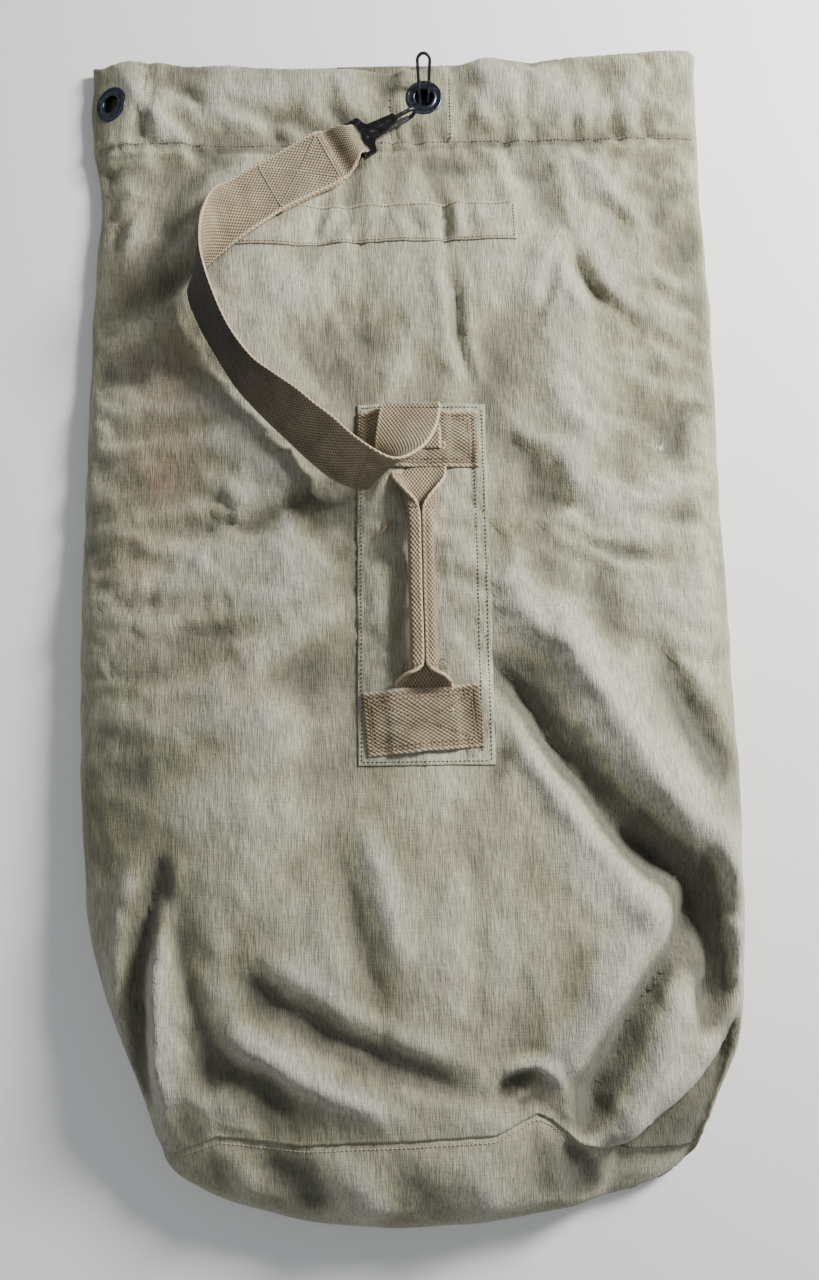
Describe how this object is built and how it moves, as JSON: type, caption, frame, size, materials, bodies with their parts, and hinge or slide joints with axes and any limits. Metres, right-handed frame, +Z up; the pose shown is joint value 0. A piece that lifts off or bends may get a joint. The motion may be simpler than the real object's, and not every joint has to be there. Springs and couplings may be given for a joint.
{
  "type": "duffel bag",
  "caption": "Top-loading canvas duffel bag lying nearly empty on its back, with a shoulder strap, snap hook, carry handle, eyelets and a lock staple.",
  "frame": {"origin": "middle of the bag's footprint, on the surface it lies on", "axes": "+Y along the bag towards the mouth, +X across it to the right seen from above, +Z up out of the front face"},
  "size_m": [0.535, 0.976, 0.0986],
  "materials": {
    "canvas": "faded olive cotton canvas, matt",
    "webbing": "khaki cotton webbing, matt",
    "grommet_metal": "blackened, worn bright on the rims",
    "hook_steel": "blackened steel with light rust",
    "bright_steel": "dull spring steel"
  },
  "bodies": {
    "bag": {"front_panel": "canvas", "back_panel": "canvas", "base_disc": "canvas", "hem_facing": "canvas", "name_strip": "canvas", "handle_panel": "canvas", "grommet_patch_front": "canvas", "grommet_patch_left": "canvas", "grommet_patch_right": "canvas", "grommet_patch_back": "canvas", "upper_anchor": "webbing", "lower_anchor": "webbing", "strap_tail": "webbing", "handle_tab_upper": "webbing", "handle_tab_lower": "webbing", "grommet_front": "grommet_metal", "grommet_left": "grommet_metal", "grommet_right": "grommet_metal", "grommet_back": "grommet_metal", "washer_front": "grommet_metal", "washer_left": "grommet_metal", "washer_right": "grommet_metal", "washer_back": "grommet_metal", "staple_keeper": "hook_steel"},
    "strap": {"shoulder_strap": "webbing"},
    "hook": {"snap_hook": "hook_steel", "gate_rivet": "bright_steel", "gate_spring": "bright_steel"},
    "gate": {"snap_gate": "bright_steel"},
    "handle": {"handle_grip": "webbing"},
    "staple": {"lock_staple": "hook_steel"}
  },
  "joints": [
    {"name": "strap_swing", "type": "hinge", "parent": "bag", "child": "strap", "pos_m": [0.036, 0.13, 0.056], "axis": [-0.0464, 0.994, -0.0994], "range_deg": [0, 85]},
    {"name": "hook_swing", "type": "hinge", "parent": "strap", "child": "hook", "pos_m": [-0.0345, 0.4015, 0.0263], "axis": [0.4736, -0.8807, 0], "range_deg": [0, 70]},
    {"name": "gate_open", "type": "hinge", "parent": "hook", "child": "gate", "pos_m": [-0.01689, 0.41097, 0.0251], "axis": [0.4736, -0.8807, 0], "range_deg": [0, 9], "stiffness_Nm_per_rad": 0.02, "springref_deg": -17.19},
    {"name": "handle_swing", "type": "hinge", "parent": "bag", "child": "handle", "pos_m": [0.0125, 0, 0.05725], "axis": [0, 0.9963, -0.0863], "range_deg": [-40, 40], "stiffness_Nm_per_rad": 0.03},
    {"name": "staple_tilt", "type": "hinge", "parent": "bag", "child": "staple", "pos_m": [0.0257, 0.442, 0.0117], "axis": [1, 0, 0], "range_deg": [0, 46]}
  ]
}
